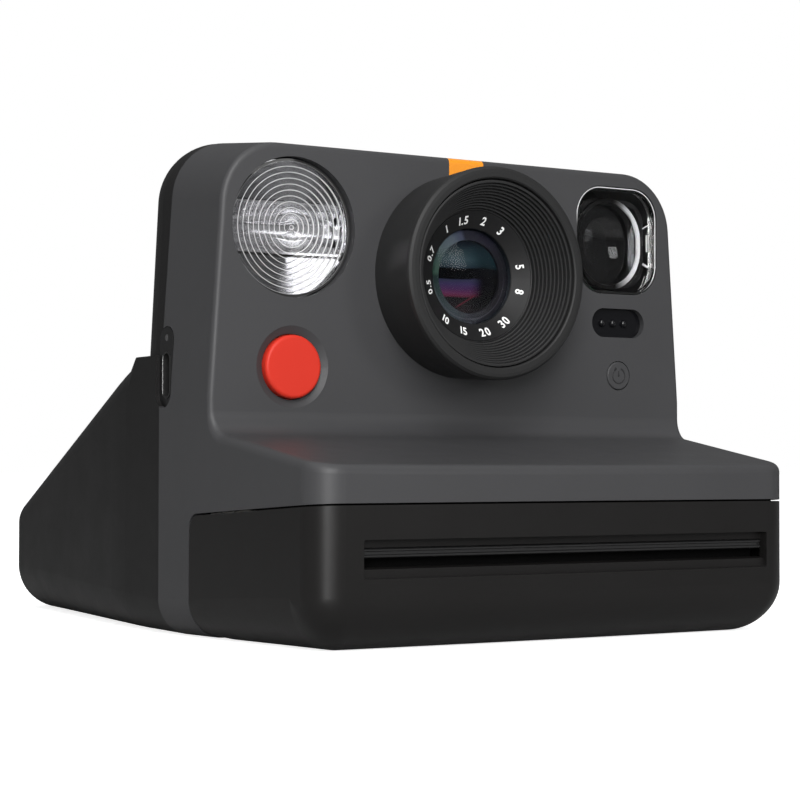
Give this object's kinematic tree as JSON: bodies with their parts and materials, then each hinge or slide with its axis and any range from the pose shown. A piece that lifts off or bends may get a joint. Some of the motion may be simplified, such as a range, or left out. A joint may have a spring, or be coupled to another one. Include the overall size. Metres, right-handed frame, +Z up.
{
  "type": "instant film camera",
  "caption": "Instant film camera with an upright body, round flash, lens barrel, viewfinder, release button and a hinged film door with a print slot.",
  "frame": {"origin": "middle of the base, at the height of the surface it stands on", "axes": "+Z up, the lens faces -Y, +X to the right of someone who looks at the lens"},
  "size_m": [0.1122, 0.1502, 0.094],
  "materials": {
    "grey_casing": "fine satin moulding",
    "black_casing": "fine satin moulding",
    "black_door": "smooth satin moulding",
    "black_barrel": "satin",
    "black_inner": "matt",
    "dark_ring": "semi gloss",
    "red_button": "satin gloss",
    "amber_inlay": "satin",
    "grey_button": "satin",
    "clear_window": "clear, polished",
    "lens_glass": "coated",
    "flash_glass": "clear with concentric ridges",
    "smoked_plastic": "smoked, polished",
    "chrome": "bright",
    "steel": "ground",
    "mirror": "front silvered",
    "white_gear": "moulded",
    "circuit_board": "solder mask",
    "battery_wrap": "film wrap",
    "switch_metal": "stamped",
    "display_glass": "polished",
    "shield_film": "flexible sheet",
    "light_pipe": "frosted"
  },
  "bodies": {
    "camera_body": {"front_shell": "grey_casing", "rear_shell": "black_casing", "film_chamber": "black_inner", "hinge_pins": "steel", "dark_chamber": "black_inner", "mirror": "mirror", "gear_plate": "steel", "drive_motor": "steel", "lens_barrel": "black_barrel", "lens_ribbed_ring": "dark_ring", "lens_scale_ring": "dark_ring", "lens_cell": "black_inner", "lens_front_element": "lens_glass", "lens_rear_element": "lens_glass", "lens_mount_plate": "black_inner", "shutter_housing": "black_inner", "pivot_pins": "steel", "shutter_solenoid": "steel", "flash_lens": "flash_glass", "flash_housing": "black_inner", "flash_reflector": "chrome", "flash_tube": "clear_window", "flash_board": "circuit_board", "flash_capacitor": "black_inner", "viewfinder_frame": "clear_window", "viewfinder_window": "clear_window", "viewfinder_tunnel": "black_inner", "viewfinder_lenses": "clear_window", "eyepiece_surround": "black_inner", "sensor_module": "smoked_plastic", "main_board": "circuit_board", "button_switches": "switch_metal", "rear_board": "circuit_board", "counter_window": "display_glass", "counter_display": "black_inner", "battery": "battery_wrap", "usb_bezel": "black_casing", "usb_socket": "switch_metal", "charge_led": "light_pipe", "lens_plate_screws": "steel", "accent_stripe": "amber_inlay"},
    "film_door": {"film_door": "black_door", "roller_bearings": "white_gear", "film_shield": "shield_film"},
    "lower_roller": {"lower_roller": "steel", "lower_roller_gear": "white_gear"},
    "upper_roller": {"upper_roller": "steel", "upper_roller_gear": "white_gear"},
    "drive_gear": {"drive_gear": "white_gear"},
    "idler_gear": {"idler_gear": "white_gear"},
    "motor_pinion": {"motor_pinion": "switch_metal"},
    "shutter_button": {"shutter_button": "red_button"},
    "timer_button": {"timer_button": "grey_button"},
    "power_button": {"power_button": "grey_button"},
    "flash_button": {"flash_button": "grey_button"},
    "door_latch": {"door_latch": "black_casing"},
    "film_pick": {"film_pick": "steel"},
    "lens_selector": {"lens_selector": "black_inner"},
    "shutter_blade_left": {"shutter_blade_left": "black_inner"},
    "shutter_blade_right": {"shutter_blade_right": "black_inner"}
  },
  "joints": [
    {"name": "film_door_hinge", "type": "hinge", "parent": "camera_body", "child": "film_door", "pos_m": [0, -0.0344, 0.0034], "axis": [1, 0, 0], "range_deg": [0, 80]},
    {"name": "lower_roller_spin", "type": "hinge", "parent": "film_door", "child": "lower_roller", "pos_m": [0, -0.06, 0.0115], "axis": [1, 0, 0], "continuous": true},
    {"name": "upper_roller_spin", "type": "hinge", "parent": "film_door", "child": "upper_roller", "pos_m": [0, -0.06, 0.0195], "axis": [1, 0, 0], "continuous": true},
    {"name": "drive_gear_spin", "type": "hinge", "parent": "camera_body", "child": "drive_gear", "pos_m": [0, -0.05486, 0.02563], "axis": [1, 0, 0], "continuous": true},
    {"name": "idler_gear_spin", "type": "hinge", "parent": "camera_body", "child": "idler_gear", "pos_m": [0, -0.04125, 0.02234], "axis": [1, 0, 0], "continuous": true},
    {"name": "motor_pinion_spin", "type": "hinge", "parent": "camera_body", "child": "motor_pinion", "pos_m": [0, -0.03167, 0.03037], "axis": [1, 0, 0], "continuous": true},
    {"name": "shutter_button_press", "type": "slide", "parent": "camera_body", "child": "shutter_button", "axis": [0, 1, 0], "range_m": [0, 0.0012], "stiffness_N_per_m": 700, "springref_m": -0.0008},
    {"name": "timer_button_press", "type": "slide", "parent": "camera_body", "child": "timer_button", "axis": [0, 1, 0], "range_m": [0, 0.0006], "stiffness_N_per_m": 700, "springref_m": -0.0008},
    {"name": "power_button_press", "type": "slide", "parent": "camera_body", "child": "power_button", "axis": [0, -1, 0], "range_m": [0, 0.0006], "stiffness_N_per_m": 700, "springref_m": -0.0008},
    {"name": "flash_button_press", "type": "slide", "parent": "camera_body", "child": "flash_button", "axis": [0, -1, 0], "range_m": [0, 0.0006], "stiffness_N_per_m": 700, "springref_m": -0.0008},
    {"name": "door_latch_slide", "type": "slide", "parent": "camera_body", "child": "door_latch", "axis": [0, 0, 1], "range_m": [0, 0.0025], "stiffness_N_per_m": 300, "springref_m": -0.001},
    {"name": "film_pick_slide", "type": "slide", "parent": "camera_body", "child": "film_pick", "axis": [0, -1, 0], "range_m": [0, 0.01]},
    {"name": "lens_selector_turn", "type": "hinge", "parent": "camera_body", "child": "lens_selector", "pos_m": [0.01, -0.033, 0.0685], "axis": [0, 1, 0], "range_deg": [0, 60]},
    {"name": "shutter_blade_left_swing", "type": "hinge", "parent": "camera_body", "child": "shutter_blade_left", "pos_m": [-0.011, -0.03, 0.082], "axis": [0, 1, 0], "range_deg": [0, 25], "stiffness_Nm_per_rad": 0.01, "springref_deg": -2.86},
    {"name": "shutter_blade_right_swing", "type": "hinge", "parent": "camera_body", "child": "shutter_blade_right", "pos_m": [0.011, -0.03, 0.082], "axis": [0, 1, 0], "range_deg": [-25, 0]}
  ],
  "couplings": [
    {"joint": "upper_roller_spin", "follows": "lower_roller_spin", "ratio": -1},
    {"joint": "drive_gear_spin", "follows": "lower_roller_spin", "ratio": 1},
    {"joint": "idler_gear_spin", "follows": "lower_roller_spin", "ratio": -0.4},
    {"joint": "motor_pinion_spin", "follows": "lower_roller_spin", "ratio": 1.6},
    {"joint": "shutter_blade_right_swing", "follows": "shutter_blade_left_swing", "ratio": -1}
  ]
}
